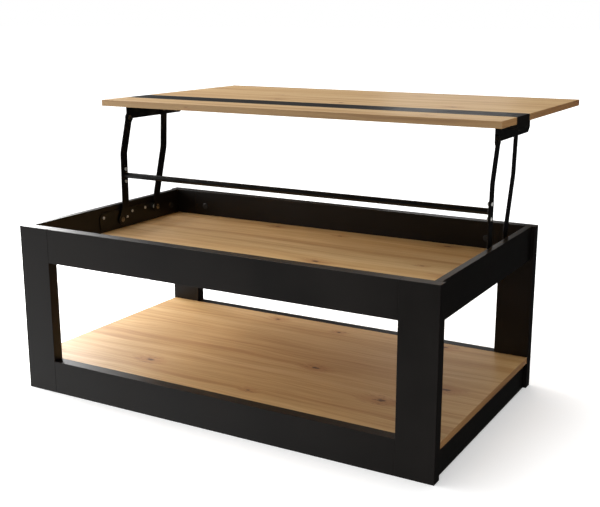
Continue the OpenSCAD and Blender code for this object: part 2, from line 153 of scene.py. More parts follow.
# Colours, as display levels from 0 to 255
OAK_SHADES = {"pale": (199, 167, 119), "middle": (189, 154, 104), "deep": (171, 131, 82)}
OAK_LINE = (202, 182, 156)
OAK_PORE = (140, 98, 58)
OAK_CRACK = (96, 58, 30)
KNOT_HALO = (152, 100, 56)
KNOT_FLECK = (96, 52, 28)
KNOT_CORE = (58, 26, 14)
BLACK_DEEP = (22, 18, 15)
BLACK_PALE = (29, 24, 20)
BLACK_SPECK = (62, 60, 58)
COAT_DEEP = (12, 11, 11)
COAT_PALE = (18, 17, 16)
COAT_RUB = (58, 56, 53)
SCRATCH = (150, 150, 148)
BEECH_DEEP = (214, 178, 132)
BEECH_PALE = (228, 196, 152)
BEECH_FLECK = (172, 128, 82)

# Studio. Mirrored rays see a room whose glow rises from dim to lit towards one bright patch, whose
# edge and full glow are cosines of the angle from it. Matt surfaces get a fill that falls from the
# left to the right.
ROOM_DIM = 0.012
ROOM_LIT = 0.078
PATCH_GLOW = 1.7
PATCH_AT = (-0.78, -0.40, -0.48)
PATCH_EDGE = 0.88
PATCH_FULL = 0.97
FILL_LEFT = 1.2
FILL_RIGHT = 0.42
FLOOR_SIZE = 60
FLOOR_GLOW = 0.28

# Camera
CAMERA_AT = (1.2103, -2.0176, 0.9186)
CAMERA_PITCH = 76.335
CAMERA_TURN = 29.74
CAMERA_LENS = 58.79
SENSOR_WIDTH = 36
CLIP_END = 200


# ---------- node helpers ----------

class Nodes:
    """A node tree that starts empty, with short calls to add to it."""

    def __init__(self, tree):
        self.tree = tree
        self.tree.nodes.clear()

    def node(self, kind, **settings):
        made = self.tree.nodes.new("ShaderNode" + kind)
        for key, value in settings.items():
            setattr(made, key, value)
        return made

    def feed(self, socket, value):
        """Links an output, or sets a plain value."""
        if isinstance(value, bpy.types.NodeSocket):
            self.tree.links.new(value, socket)
        else:
            socket.default_value = value

    def math(self, operation, a, b=0.0, c=0.0):
        made = self.node("Math", operation=operation)
        for socket, value in zip(made.inputs, (a, b, c)):
            self.feed(socket, value)
        return made.outputs[0]

    def remap(self, value, low, high, to_low=0.0, to_high=1.0, curve="SMOOTHSTEP"):
        made = self.node("MapRange", interpolation_type=curve)
        for socket, number in zip(made.inputs, (value, low, high, to_low, to_high)):
            self.feed(socket, number)
        return made.outputs[0]


class Shader(Nodes):
    """One procedural material, built node by node."""

    def __init__(self, name):
        self.material = bpy.data.materials.new(name)
        self.material.use_nodes = True
        super().__init__(self.material.node_tree)
        self.surface = self.node("BsdfPrincipled")
        self.feed(self.node("OutputMaterial").inputs["Surface"], self.surface.outputs[0])

    def mix(self, share, a, b, blend="MIX"):
        made = self.node("Mix", data_type="RGBA", blend_type=blend)
        self.feed(made.inputs["Factor"], share)
        self.feed(made.inputs[6], a)
        self.feed(made.inputs[7], b)
        return made.outputs[2]

    def place(self, axes, scale, offset=(0, 0, 0)):
        """Object coordinates with axes such as "xyz" or "yxz" in that order, scaled and moved."""
        coords = self.node("TexCoord").outputs["Object"]
        split = self.node("SeparateXYZ")
        self.feed(split.inputs[0], coords)
        joined = self.node("CombineXYZ")
        for i, axis in enumerate(axes):
            self.feed(joined.inputs[i], split.outputs["xyz".index(axis)])
        mapped = self.node("Mapping")
        self.feed(mapped.inputs["Vector"], joined.outputs[0])
        mapped.inputs["Scale"].default_value = scale
        mapped.inputs["Location"].default_value = offset
        return mapped.outputs[0]

    def noise(self, at, scale=1.0, detail=2.0, roughness=0.5):
        made = self.node("TexNoise")
        self.feed(made.inputs["Vector"], at)
        made.inputs["Scale"].default_value = scale
        made.inputs["Detail"].default_value = detail
        made.inputs["Roughness"].default_value = roughness
        return made.outputs["Fac"]

    def ramp(self, value, stops):
        """A colour ramp from [position, colour] stops."""
        made = self.node("ValToRGB")
        elements = made.color_ramp.elements
        while len(elements) < len(stops):
            elements.new(0.5)
        for element, (position, colour) in zip(elements, stops):
            element.position = position
            element.color = (*colour, 1)
        self.feed(made.inputs[0], value)
        return made.outputs[0]

    def bump(self, height, distance, strength=1.0, after=None):
        made = self.node("Bump")
        made.inputs["Strength"].default_value = strength
        made.inputs["Distance"].default_value = distance
        self.feed(made.inputs["Height"], height)
        if after is not None:
            self.feed(made.inputs["Normal"], after)
        return made.outputs["Normal"]

    def finish(self, colour, roughness, normal=None, constants=()):
        """Feeds the surface, sets its constants by name, and gives the material."""
        self.feed(self.surface.inputs["Base Color"], colour)
        self.feed(self.surface.inputs["Roughness"], roughness)
        if normal is not None:
            self.feed(self.surface.inputs["Normal"], normal)
        for name, value in dict(constants).items():
            self.surface.inputs[name].default_value = value
        return self.material


def rgb(*levels):
    """A colour from 0 to 255 display levels."""
    return tuple((v / 255) ** 2.2 for v in levels)


def opaque(levels):
    return (*rgb(*levels), 1)


# ---------- materials ----------

def oak_knots(s, axes):
    """How strongly a point lies in a knot's halo, in its core, and in the flecked zone round it.

    A knot stands in some of the cells of a stretched cell pattern.
    """
    cells = s.node("TexVoronoi", voronoi_dimensions="2D", feature="F1")
    s.feed(cells.inputs["Vector"], s.place(axes, (3.4, 6.4, 1), (0.31, 0.77, 0)))
    cells.inputs["Scale"].default_value = 1.0
    cells.inputs["Randomness"].default_value = 0.85
    pick = s.node("SeparateColor")
    s.feed(pick.inputs[0], cells.outputs["Color"])
    kept = s.remap(pick.outputs[0], 0.42, 0.44)
    size = s.remap(pick.outputs[1], 0.0, 1.0, 0.5, 1.35)
    reach = s.math("DIVIDE", cells.outputs["Distance"], size)
    wobble = s.noise(s.place(axes, (90, 120, 60)), detail=3)
    ragged = s.math("MULTIPLY_ADD", s.math("SUBTRACT", wobble, 0.5), 0.07, reach)
    return [
        s.math("MULTIPLY", s.remap(distance, near, far, 1.0, 0.0), kept)
        for distance, near, far in ((ragged, 0.03, 0.20), (ragged, 0.010, 0.045), (reach, 0.05, 0.24))
    ]


def oak_grain(s, axes, halo):
    """Soft bands and growth lines along the grain, pushed aside near a knot."""
    split = s.node("SeparateXYZ")
    s.feed(split.inputs[0], s.place(axes, (1, 1, 1), (0.37, 0.21, 0.11)))
    drift = s.noise(s.place(axes, (1.6, 7, 7), (3, 1, 2)), detail=3)
    bent = s.math("MULTIPLY_ADD", drift, 0.075, split.outputs[1])
    bent = s.math("MULTIPLY_ADD", halo, 0.016, bent)
    stretched = s.node("CombineXYZ")
    s.feed(stretched.inputs[0], s.math("MULTIPLY", split.outputs[0], 0.9))
    s.feed(stretched.inputs[1], s.math("MULTIPLY", bent, 34.0))
    s.feed(stretched.inputs[2], s.math("MULTIPLY", split.outputs[2], 34.0))
    bands = s.noise(stretched.outputs[0], detail=2, roughness=0.55)
    lines = s.noise(stretched.outputs[0], scale=4.6, detail=4, roughness=0.62)
    return bands, lines


def oak_decor(name, axes, tint=(1, 1, 1), knots=True):
    """Artisan oak decor: soft bands, growth lines that part round dark knots, and short pores.

    The first letter of axes is the grain's direction and the second the way across it.
    """
    s = Shader(name)
    halo, core, around = oak_knots(s, axes)
    bands, lines = oak_grain(s, axes, halo)
    pores = s.noise(s.place(axes, (55, 1500, 1500)), detail=2, roughness=0.6)
    cracks = s.noise(s.place(axes, (7, 210, 210), (5, 3, 1)), detail=3, roughness=0.7)
    flecks = s.noise(s.place(axes, (38, 260, 90), (2, 5, 3)), detail=3, roughness=0.65)
    marks = [
        (s.remap(pores, 0.60, 0.74), 0.28, OAK_PORE),
        (s.remap(cracks, 0.73, 0.80), 0.55, OAK_CRACK),
    ]
    if knots:
        marks += [
            (halo, 0.45, KNOT_HALO),
            (s.math("MULTIPLY", s.remap(flecks, 0.57, 0.66), around), 0.75, KNOT_FLECK),
            (core, 0.92, KNOT_CORE),
        ]

    # tint multiplies every oak colour; on the long and end edge materials it is painted shade
    shades = {
        shade: tuple(c * t for c, t in zip(rgb(*levels), tint))
        for shade, levels in OAK_SHADES.items()
    }
    colour = s.ramp(bands, [(0.30, shades["deep"]), (0.50, shades["middle"]), (0.70, shades["pale"])])
    fine = s.ramp(lines, [(0.30, rgb(*OAK_LINE)), (0.64, rgb(255, 255, 255))])
    colour = s.mix(0.55, colour, fine, "MULTIPLY")
    for mark, strength, levels in marks:
        colour = s.mix(s.math("MULTIPLY", mark, strength), colour, opaque(levels))

    roughness = s.remap(lines, 0.2, 0.8, 0.50, 0.40)
    normal = s.bump(pores, 0.05 * MM, 0.35)
    normal = s.bump(lines, 0.08 * MM, 0.25, normal)
    return s.finish(colour, roughness, normal, {"IOR": 1.48, "Specular IOR Level": 0.75})


def black_decor(name, lightness=1.0, rough=0.42):
    """Satin black melamine with a fine pearl texture and faint cloudy variation."""
    s = Shader(name)
    clouds = s.noise(s.place("xyz", (5, 5, 5)), detail=4)
    pearl = s.noise(s.place("xyz", (900, 900, 900)), detail=2, roughness=0.6)
    grain = s.noise(s.place("xyz", (2600, 2600, 2600)), detail=1)
    deep, pale = [[c * lightness for c in rgb(*levels)] for levels in (BLACK_DEEP, BLACK_PALE)]
    colour = s.ramp(clouds, [(0.35, deep), (0.65, pale)])
    specks = s.remap(grain, 0.66, 0.78)
    colour = s.mix(s.math("MULTIPLY", specks, 0.25), colour, opaque(BLACK_SPECK))
    roughness = s.math("ADD", s.remap(clouds, 0.3, 0.7, rough - 0.04, rough + 0.05),
                       s.remap(pearl, 0.3, 0.7, -0.03, 0.03))
    normal = s.bump(pearl, 0.06 * MM, 0.5)
    return s.finish(colour, roughness, normal, {"IOR": 1.5, "Specular IOR Level": 0.3})


def powder_coat(name):
    """Semi-gloss black powder coat with its slight orange peel and a few rubbed spots."""
    s = Shader(name)
    peel = s.noise(s.place("xyz", (420, 420, 420)), detail=2)
    clouds = s.noise(s.place("xyz", (26, 26, 26)), detail=4)
    spots = s.noise(s.place("xyz", (75, 75, 75), (4, 7, 2)), detail=6, roughness=0.7)
    rub = s.math("MULTIPLY", s.remap(spots, 0.66, 0.78), 0.3)
    colour = s.ramp(clouds, [(0.35, rgb(*COAT_DEEP)), (0.65, rgb(*COAT_PALE))])
    colour = s.mix(rub, colour, opaque(COAT_RUB))
    roughness = s.remap(clouds, 0.3, 0.7, 0.30, 0.40)
    normal = s.bump(peel, 0.10 * MM, 0.45)
    return s.finish(colour, roughness, normal, {"IOR": 1.5, "Specular IOR Level": 0.35})


def plated_steel(name, low, high, metallic):
    """Plated steel with fine scratches and a faint change of tint."""
    s = Shader(name)
    clouds = s.noise(s.place("xyz", (160, 160, 160)), detail=3)
    scratches = s.noise(s.place("xyz", (300, 4000, 900)), detail=3, roughness=0.7)
    colour = s.ramp(clouds, [(0.3, low), (0.7, high)])
    colour = s.mix(s.remap(scratches, 0.62, 0.78, 0.0, 0.4), colour, opaque(SCRATCH))
    roughness = s.remap(scratches, 0.3, 0.7, 0.22, 0.38)
    return s.finish(colour, roughness, s.bump(scratches, 0.02 * MM, 0.4), {"Metallic": metallic})


def raw_beech(name):
    """Turned beech with short flecks along the dowel."""
    s = Shader(name)
    flecks = s.noise(s.place("xyz", (260, 1300, 1300)), detail=3, roughness=0.6)
    clouds = s.noise(s.place("xyz", (40, 90, 90)), detail=3)
    colour = s.ramp(clouds, [(0.3, rgb(*BEECH_DEEP)), (0.7, rgb(*BEECH_PALE))])
    colour = s.mix(s.remap(flecks, 0.56, 0.72, 0.0, 0.5), colour, opaque(BEECH_FLECK))
    return s.finish(colour, s.remap(flecks, 0.3, 0.7, 0.62, 0.75), s.bump(flecks, 0.05 * MM, 0.5))


def moulded_plastic(name, low, high, rough):
    """Moulded plastic with a fine spark-eroded texture."""
    s = Shader(name)
    clouds = s.noise(s.place("xyz", (60, 60, 60)), detail=3)
    texture = s.noise(s.place("xyz", (1800, 1800, 1800)), detail=2)
    colour = s.ramp(clouds, [(0.3, low), (0.7, high)])
    roughness = s.remap(texture, 0.3, 0.7, rough - 0.05, rough + 0.05)
    return s.finish(colour, roughness, s.bump(texture, 0.04 * MM, 0.4))


OAK_TOP = oak_decor("oak_face", "xyz")
# The tints of the long and end edge materials darken those faces as painted shade, the end edges most
OAK_LONG_EDGE_SHADED = oak_decor("oak_long_edge_painted_shade", "xzy", (0.60, 0.56, 0.48))
OAK_END_EDGE_SHADED = oak_decor("oak_end_edge_painted_shade", "yzx", (0.60, 0.46, 0.30))
OAK_ARRIS = oak_decor("oak_arris", "xyz", (0.80, 0.76, 0.70), knots=False)
BLACK_FACE = black_decor("black_face")
BLACK_ARRIS = black_decor("black_arris", lightness=1.35, rough=0.48)
STEEL = powder_coat("black_powder_coat")
ZINC = plated_steel("zinc_plate", rgb(202, 202, 197), rgb(226, 225, 219), 0.3)
RIVET_STEEL = plated_steel("rivet_steel", rgb(124, 118, 111), rgb(148, 141, 133), 1.0)
BEECH = raw_beech("raw_beech")
NYLON = moulded_plastic("natural_nylon", rgb(222, 218, 206), rgb(236, 233, 224), 0.45)
BLACK_PLASTIC = moulded_plastic("black_plastic", rgb(30, 30, 31), rgb(38, 38, 39), 0.5)

SLOT_MATERIALS = {
    "black_board": BLACK_FACE,
    "oak_board": OAK_TOP,
    "black_steel": STEEL,
    "zinc_steel": ZINC,
    "beech_dowel": BEECH,
    "nylon": NYLON,
    "black_plastic": BLACK_PLASTIC,
}
NODE_SLOTS = {row["node"]: row["material_slot"] for row in frame["record"]["subparts"]}
NODE_BODIES = {n: body for body, nodes in frame["record"]["behaviour"]["bodies"].items() for n in nodes}


# ---------- mesh helpers ----------

def add_piece(name, mesh_data, materials, *nodes):
    """Makes an object of a bmesh that stands for CAD nodes, on their body and with their slot."""
    mesh = bpy.data.meshes.new(name)
    bmesh.ops.recalc_face_normals(mesh_data, faces=mesh_data.faces[:])
    mesh_data.to_mesh(mesh)
    mesh_data.free()
    for material in materials:
        mesh.materials.append(material)
    for polygon in mesh.polygons:
        polygon.use_smooth = True
    piece = bpy.data.objects.new(name, mesh)
    bpy.context.scene.collection.objects.link(piece)
    weighted = piece.modifiers.new("Weighted normals", "WEIGHTED_NORMAL")
    weighted.weight = 100
    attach(piece, NODE_BODIES[nodes[0]])
    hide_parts(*nodes)


def round_edges(mesh_data, radius, steps=3, sharper_than=30):
    """Rounds every edge whose faces meet at more than an angle in degrees."""
    limit = math.radians(sharper_than)
    edges = [e for e in mesh_data.edges if len(e.link_faces) == 2 and e.calc_face_angle() > limit]
    bmesh.ops.bevel(
        mesh_data, geom=edges, offset=radius, offset_type="OFFSET",
        segments=steps, profile=0.5, affect="EDGES", clamp_overlap=True,
    )


def mark_faces(mesh_data, arris, by_axis):
    """Gives each flat face the material index of its axis, and each rounded one that of arrises."""
    for face in mesh_data.faces:
        face.normal_update()
        axis = max(range(3), key=lambda i: abs(face.normal[i]))
        face.material_index = by_axis[axis] if abs(face.normal[axis]) > FLAT else arris


def prism(outline, along, low, high):
    """A closed prism of a 2D outline. along is the axis it is drawn along; the outline's two
    numbers are the other two axes in their order."""
    mesh_data = bmesh.new()
    rings = []
    for at in (low, high):
        ring = []
        for a, b in outline:
            point = [a, b]
            point.insert(along, at)
            ring.append(mesh_data.verts.new(point))
        rings.append(ring)
    count = len(outline)
    for i in range(count):
        j = (i + 1) % count
        mesh_data.faces.new((rings[0][i], rings[0][j], rings[1][j], rings[1][i]))
    mesh_data.faces.new(rings[0])
    mesh_data.faces.new(rings[1])
    bmesh.ops.recalc_face_normals(mesh_data, faces=mesh_data.faces[:])
    return mesh_data


def plate(outline, holes, x_low, x_high, radius, steps=3):
    """A flat plate in the YZ plane from x_low to x_high, with holes and rounded rims."""
    mesh_data = bmesh.new()
    loops = [outline] + holes
    normals = [loop_normals(loop, inwards=(i == 0)) for i, loop in enumerate(loops)]
    profile = []
    for k in range(steps + 1):
        turn = math.pi / 2 * k / steps
        profile.append((radius * (1 - math.sin(turn)), radius * (1 - math.cos(turn))))
    rows = [(x_low + depth, inset) for inset, depth in profile]
    rows += [(x_high - depth, inset) for inset, depth in reversed(profile)]
    caps = {x_low: [], x_high: []}
    for loop, inward in zip(loops, normals):
        rings = []
        for x, inset in rows:
            rings.append([
                mesh_data.verts.new((x, p[0] + n[0] * inset, p[1] + n[1] * inset))
                for p, n in zip(loop, inward)
            ])
        for first, second in zip(rings, rings[1:]):
            for i in range(len(loop)):
                j = (i + 1) % len(loop)
                mesh_data.faces.new((first[i], first[j], second[j], second[i]))
        caps[x_low].append(rings[0])
        caps[x_high].append(rings[-1])
    for rings in caps.values():
        flat = [v for ring in rings for v in ring]
        for corners in tessellate_polygon([[Vector((v.co.y, v.co.z, 0)) for v in ring] for ring in rings]):
            mesh_data.faces.new([flat[i] for i in corners])
    bmesh.ops.recalc_face_normals(mesh_data, faces=mesh_data.faces[:])
    return mesh_data


def loop_normals(loop, inwards):
    """For each point of a closed loop, the mitred unit step into the material."""
    count = len(loop)
    area = sum(loop[i][0] * loop[(i + 1) % count][1] - loop[(i + 1) % count][0] * loop[i][1]
               for i in range(count))
    sign = (1 if area > 0 else -1) * (1 if inwards else -1)
    steps = []
    for i in range(count):
        before = Vector(loop[i]) - Vector(loop[i - 1])
        after = Vector(loop[(i + 1) % count]) - Vector(loop[i])
        a = Vector((-before.y, before.x)).normalized()
        b = Vector((-after.y, after.x)).normalized()
        steps.append((a + b) / (1 + a.dot(b)) * sign)
    return steps


def circle(centre, diameter, steps=40, start=0.0, turn=2 * math.pi):
    """The points of a circle, or of an arc from an angle over a turn, both in radians."""
    whole = abs(turn) > 2 * math.pi - 1e-6
    count = steps if whole else steps + 1
    return [
        (
            centre[0] + diameter / 2 * math.cos(start + turn * i / steps),
            centre[1] + diameter / 2 * math.sin(start + turn * i / steps),
        )
        for i in range(count)
    ]


def lathe(mesh_data, profile, place, steps=40, wave=None, hollow=False):
    """Adds a turned solid. The profile is [radius, height] points from pole to pole, or a closed
    loop if it is hollow, and place takes its +Z axis to where it stands. wave gives a share by which
    a ring's radius grows at an angle."""
    rings = []
    for k, (radius, height) in enumerate(profile):
        if radius < 1e-9:
            rings.append([mesh_data.verts.new(place @ Vector((0, 0, height)))])
            continue
        ring = []
        for i in range(steps):
            angle = 2 * math.pi * i / steps
            r = radius * (1 + (wave(angle, k) if wave else 0))
            point = Vector((r * math.cos(angle), r * math.sin(angle), height))
            ring.append(mesh_data.verts.new(place @ point))
        rings.append(ring)
    pairs = list(zip(rings, rings[1:]))
    if hollow:
        pairs.append((rings[-1], rings[0]))
    for first, second in pairs:
        for i in range(steps):
            j = (i + 1) % steps
            corners = [first[i % len(first)], first[j % len(first)],
                       second[j % len(second)], second[i % len(second)]]
            unique = list(dict.fromkeys(corners))
            if len(unique) > 2:
                mesh_data.faces.new(unique)


def along_x(at, x, sign=1):
    """Takes local +Z to +X or -X, with its foot at x and a (y, z) point."""
    turn = Matrix.Rotation(sign * math.pi / 2, 4, "Y")
    return Matrix.Translation((x, at[0], at[1])) @ turn


def everything(mesh_data):
    return mesh_data.verts[:] + mesh_data.edges[:] + mesh_data.faces[:]


def mirrored(mesh_data):
    """Adds the left-hand twin of a right-hand shape."""
    made = bmesh.ops.duplicate(mesh_data, geom=everything(mesh_data))
    twins = [v for v in made["geom"] if isinstance(v, bmesh.types.BMVert)]
    bmesh.ops.scale(mesh_data, vec=(-1, 1, 1), verts=twins)
    return mesh_data


def on_side(mesh_data, side):
    """Takes a right-hand shape to the side asked for."""
    bmesh.ops.scale(mesh_data, vec=(side, 1, 1), verts=mesh_data.verts[:])


def combined(solid, other, operation):
    """The boolean of two bmeshes, which are freed, as a plain mesh. Neither may cross itself."""
    objects = []
    for mesh_data in (solid, other):
        bmesh.ops.recalc_face_normals(mesh_data, faces=mesh_data.faces[:])
        mesh = bpy.data.meshes.new("part")
        mesh_data.to_mesh(mesh)
        mesh_data.free()
        part = bpy.data.objects.new("part", mesh)
        bpy.context.scene.collection.objects.link(part)
        objects.append(part)
    change = objects[0].modifiers.new("change", "BOOLEAN")
    change.operation = operation
    change.solver = "EXACT"
    change.object = objects[1]
    bpy.context.view_layer.update()
    evaluated = objects[0].evaluated_get(bpy.context.evaluated_depsgraph_get())
    result = bpy.data.meshes.new_from_object(evaluated)
    for part in objects:
        bpy.data.objects.remove(part)
    return result


def add_copy(mesh_data, template, place):
    """Adds a template mesh, moved by a matrix."""
    first = len(mesh_data.verts)
    mesh_data.from_mesh(template)
    mesh_data.verts.ensure_lookup_table()
    bmesh.ops.transform(mesh_data, matrix=place, verts=mesh_data.verts[first:])


# ---------- boards ----------

def box_outline(low, high):
    return [(low[0], low[1]), (high[0], low[1]), (high[0], high[1]), (low[0], high[1])]


def board(node, materials, by_axis):
    """A board in a CAD node's box, with rounded arrises. by_axis gives the faces' materials."""
    low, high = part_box(node)
    mesh_data = prism(box_outline(low.yz, high.yz), 0, low.x, high.x)
    round_edges(mesh_data, BOARD_ROUND)
    mark_faces(mesh_data, len(materials) - 1, by_axis)
    add_piece(node + "_piece", mesh_data, materials, node)


def black_boards():
    for node, slot_name in NODE_SLOTS.items():
        if slot_name == "black_board" and node != "top_centre_strip":
            board(node, [BLACK_FACE, BLACK_ARRIS], (0, 0, 0))


def oak_boards():
    for node, slot_name in NODE_SLOTS.items():
        if slot_name == "oak_board":
            board(node, [OAK_TOP, OAK_LONG_EDGE_SHADED, OAK_END_EDGE_SHADED, OAK_ARRIS], (2, 1, 0))


def centre_strip():
    """The black strip, notched underneath where the upper brackets cross it."""
    low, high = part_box("top_centre_strip")
    notch_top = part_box("wide_top_board")[0].z
    bracket_low, bracket_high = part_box("right_upper_bracket")
    near, far = bracket_low.x - NOTCH_SIDE, bracket_high.x + NOTCH_SIDE
    outline = [
        (low.x, low.z), (-far, low.z), (-far, notch_top), (-near, notch_top), (-near, low.z),
        (near, low.z), (near, notch_top), (far, notch_top), (far, low.z),
        (high.x, low.z), (high.x, high.z), (low.x, high.z),
    ]
    mesh_data = prism(outline, 1, low.y, high.y)
    round_edges(mesh_data, BOARD_ROUND)
    mark_faces(mesh_data, 1, (0, 0, 0))
    add_piece("top_centre_strip_piece", mesh_data, [BLACK_FACE, BLACK_ARRIS], "top_centre_strip")


# ---------- steel ----------

def on_arm(low, s, n):
    """A (y, z) point s along a lifted arm from its lower pivot and n towards the front."""
    c, d = math.cos(ARM_ANGLE), math.sin(ARM_ANGLE)
    return Vector((low[0] + s * c - n * d, low[1] + s * d + n * c))


def eased(points, radius, steps=8):
    """The polyline with each inner corner turned into an arc."""
    path = [points[0]]
    for before, corner, after in zip(points, points[1:], points[2:]):
        a = (before - corner).normalized()
        b = (after - corner).normalized()
        half = math.acos(max(-1.0, min(1.0, a.dot(b)))) / 2
        reach = radius / math.tan(half)
        centre = corner + (a + b).normalized() * (radius / math.sin(half))
        first, last = corner + a * reach, corner + b * reach
        for k in range(steps + 1):
            spoke = (first - centre).lerp(last - centre, k / steps).normalized()
            path.append(centre + spoke * radius)
    path.append(points[-1])
    return path


def arm_outline(path):
    """The outline of a flat bar along a path, with a round eye at each end."""
    half = ARM_WIDTH / 2
    neck = math.sqrt((EYE_D / 2) ** 2 - half ** 2)
    headings = [(b - a).normalized() for a, b in zip(path, path[1:])]
    left, right = [], []
    for i, point in enumerate(path):
        a = headings[max(i - 1, 0)]
        b = headings[min(i, len(headings) - 1)]
        if i == 0:
            point = point + b * neck
        if i == len(path) - 1:
            point = point - a * neck
        side = Vector((-(a + b).y, (a + b).x)).normalized() / math.cos(a.angle(b) / 2)
        left.append(tuple(point + side * half))
        right.append(tuple(point - side * half))
    outline = list(left)
    outline += eye_arc(path[-1], headings[-1], half)[1:-1]
    outline += reversed(right)
    outline += eye_arc(path[0], -headings[0], half)[1:-1]
    return outline


def eye_arc(centre, heading, half, steps=20):
    """The arc of an eye from the bar's one edge to the other, clockwise round its far side."""
    gap = math.pi - math.asin(half / (EYE_D / 2))
    middle = math.atan2(heading.y, heading.x)
    return circle(centre, EYE_D, steps, middle + gap, -2 * gap)


def arm(node, low, bends):
    """One flat arm with both its pin holes, from its lower pivot's (y, z)."""
    box_low, box_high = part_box(node)
    route = [(0, 0)] + [(share * ARM_LENGTH, n) for share, n in bends] + [(ARM_LENGTH, 0)]
    path = eased([on_arm(low, s, n) for s, n in route], BEND_RADIUS)
    holes = [circle(end, PIN_D + 2 * PIN_FIT) for end in (path[0], path[-1])]
    mesh_data = plate(arm_outline(path), holes, box_low.x, box_high.x, PLATE_ROUND)
    add_piece(node + "_piece", mesh_data, [STEEL], node)


def arms():
    front_low = JOINT_AT["lift"].yz
    rear_low = JOINT_AT["left_rear_arm_swing"].yz
    for side in SIDE_NAMES.values():
        arm(side + "_front_arm", front_low, FRONT_BENDS)
        arm(side + "_rear_arm", rear_low, REAR_BENDS)


def rounded_box(low, high, radius, steps=8):
    """A rounded rectangle in (y, z)."""
    left, right = low[0] + radius, high[0] - radius
    bottom, top = low[1] + radius, high[1] - radius
    outline = []
    for quarter, centre in enumerate([(right, top), (left, top), (left, bottom), (right, bottom)]):
        outline += circle(centre, 2 * radius, steps, quarter * math.pi / 2, math.pi / 2)
    return outline


def lower_brackets():
    for side, word in SIDE_NAMES.items():
        low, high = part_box(word + "_lower_bracket")
        outline = rounded_box(low.yz, high.yz, LOWER_PLATE_CORNER)
        mesh_data = plate(outline, [], low.x, high.x, PLATE_ROUND)
        add_piece(word + "_lower_bracket_piece", mesh_data, [STEEL], word + "_lower_bracket")


def angle_profile(low, high, foot):
    """The (x, z) section of the right angle bar, with a bent corner at its top outer edge."""
    inner, under = high.x - PLATE_T, high.z - PLATE_T
    fillet = UPPER_BEND - PLATE_T
    bend = {"steps": 6, "turn": math.pi / 2}
    profile = [(high.x, foot)]
    profile += circle((high.x - UPPER_BEND, high.z - UPPER_BEND), 2 * UPPER_BEND, **bend)
    profile += [(low.x, high.z), (low.x, under)]
    profile += reversed(circle((inner - fillet, under - fillet), 2 * fillet, **bend))
    profile += [(inner, foot)]
    return profile


def angle_bar():
    """The right angle bar: its rear corner is cut off, and a lobe holds the front pivot."""
    low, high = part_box("right_upper_bracket")
    rise = on_arm((0, 0), ARM_LENGTH, 0)
    front_pivot = JOINT_AT["lift"].yz + rise
    foot = (JOINT_AT["left_rear_arm_swing"].yz + rise).y - UPPER_HANG
    bar = prism(angle_profile(low, high, foot), 1, low.y, high.y)
    cut = bmesh.ops.bisect_plane(
        bar, geom=everything(bar), clear_outer=True,
        plane_co=(0, high.y - UPPER_CHAMFER, foot), plane_no=(0, 1, -1),
    )
    rim = [e for e in cut["geom_cut"] if isinstance(e, bmesh.types.BMEdge)]
    bmesh.ops.holes_fill(bar, edges=rim)
    lobe = prism(circle(front_pivot, UPPER_LOBE_D, 48), 0, high.x - PLATE_T, high.x)
    return combined(bar, lobe, "UNION")


def upper_brackets():
    """Angle bars: a plate in the plane of the arms and a flange under the boards."""
    for side, word in SIDE_NAMES.items():
        mesh_data = bmesh.new()
        mesh_data.from_mesh(angle_bar())
        bmesh.ops.remove_doubles(mesh_data, verts=mesh_data.verts[:], dist=0.01 * MM)
        bmesh.ops.dissolve_limit(
            mesh_data, angle_limit=math.radians(1), verts=mesh_data.verts[:], edges=mesh_data.edges[:],
        )
        bmesh.ops.recalc_face_normals(mesh_data, faces=mesh_data.faces[:])
        round_edges(mesh_data, PLATE_ROUND, sharper_than=40)
        on_side(mesh_data, side)
        add_piece(word + "_upper_bracket_piece", mesh_data, [STEEL], word + "_upper_bracket")


def dome(radius, height, rim, steps=6):
    """The profile of a low dome on a short straight rim, from its edge to its pole."""
    points = [(radius, 0), (radius, rim)]
    for k in range(1, steps + 1):
        turn = math.pi / 2 * k / steps
        points.append((radius * math.cos(turn), rim + (height - rim) * math.sin(turn)))
    points[-1] = (0, height)
    return points


def rivet_head(mesh_data, at, x, sign):
    """A domed head whose seat is at x, and that stands towards sign."""
    profile = [(0, 0)] + dome(RIVET_HEAD_D / 2, RIVET_HEAD_H, RIVET_RIM)
    lathe(mesh_data, profile, along_x(at, x, sign))


def shank(mesh_data, at, x_low, x_high, diameter):
    r, length = diameter / 2, x_high - x_low
    lathe(mesh_data, [(0, 0), (r, 0), (r, length), (0, length)], along_x(at, x_low))


def pivots():
    """Rivets of the four pivots on each side. The lower ones end in the bracket plate, and the upper
    ones have a second head outside."""
    rail_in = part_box("right_lower_bracket")[1].x
    front_low, front_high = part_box("right_front_arm")
    rear_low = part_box("right_rear_arm")[0]
    bar_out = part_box("right_upper_bracket")[1].x
    bar_in = bar_out - PLATE_T
    low_front, low_rear = JOINT_AT["lift"].yz, JOINT_AT["left_rear_arm_swing"].yz
    rise = on_arm((0, 0), ARM_LENGTH, 0)
    rows = [
        ("lower_front_pivots", low_front, front_low.x - HEAD_GAP, rail_in, False),
        ("lower_rear_pivots", low_rear, rear_low.x - HEAD_GAP, rail_in, False),
        ("upper_front_pivots", low_front + rise, bar_in, front_high.x + HEAD_GAP, True),
        ("upper_rear_pivots", low_rear + rise, rear_low.x - HEAD_GAP, bar_out, True),
    ]
    for node, at, x_low, x_high, outer_head in rows:
        mesh_data = bmesh.new()
        shank(mesh_data, at, x_low, x_high, PIN_D)
        rivet_head(mesh_data, at, x_low, -1)
        if outer_head:
            rivet_head(mesh_data, at, x_high, 1)
        add_piece(node + "_piece", mirrored(mesh_data), [RIVET_STEEL], node)


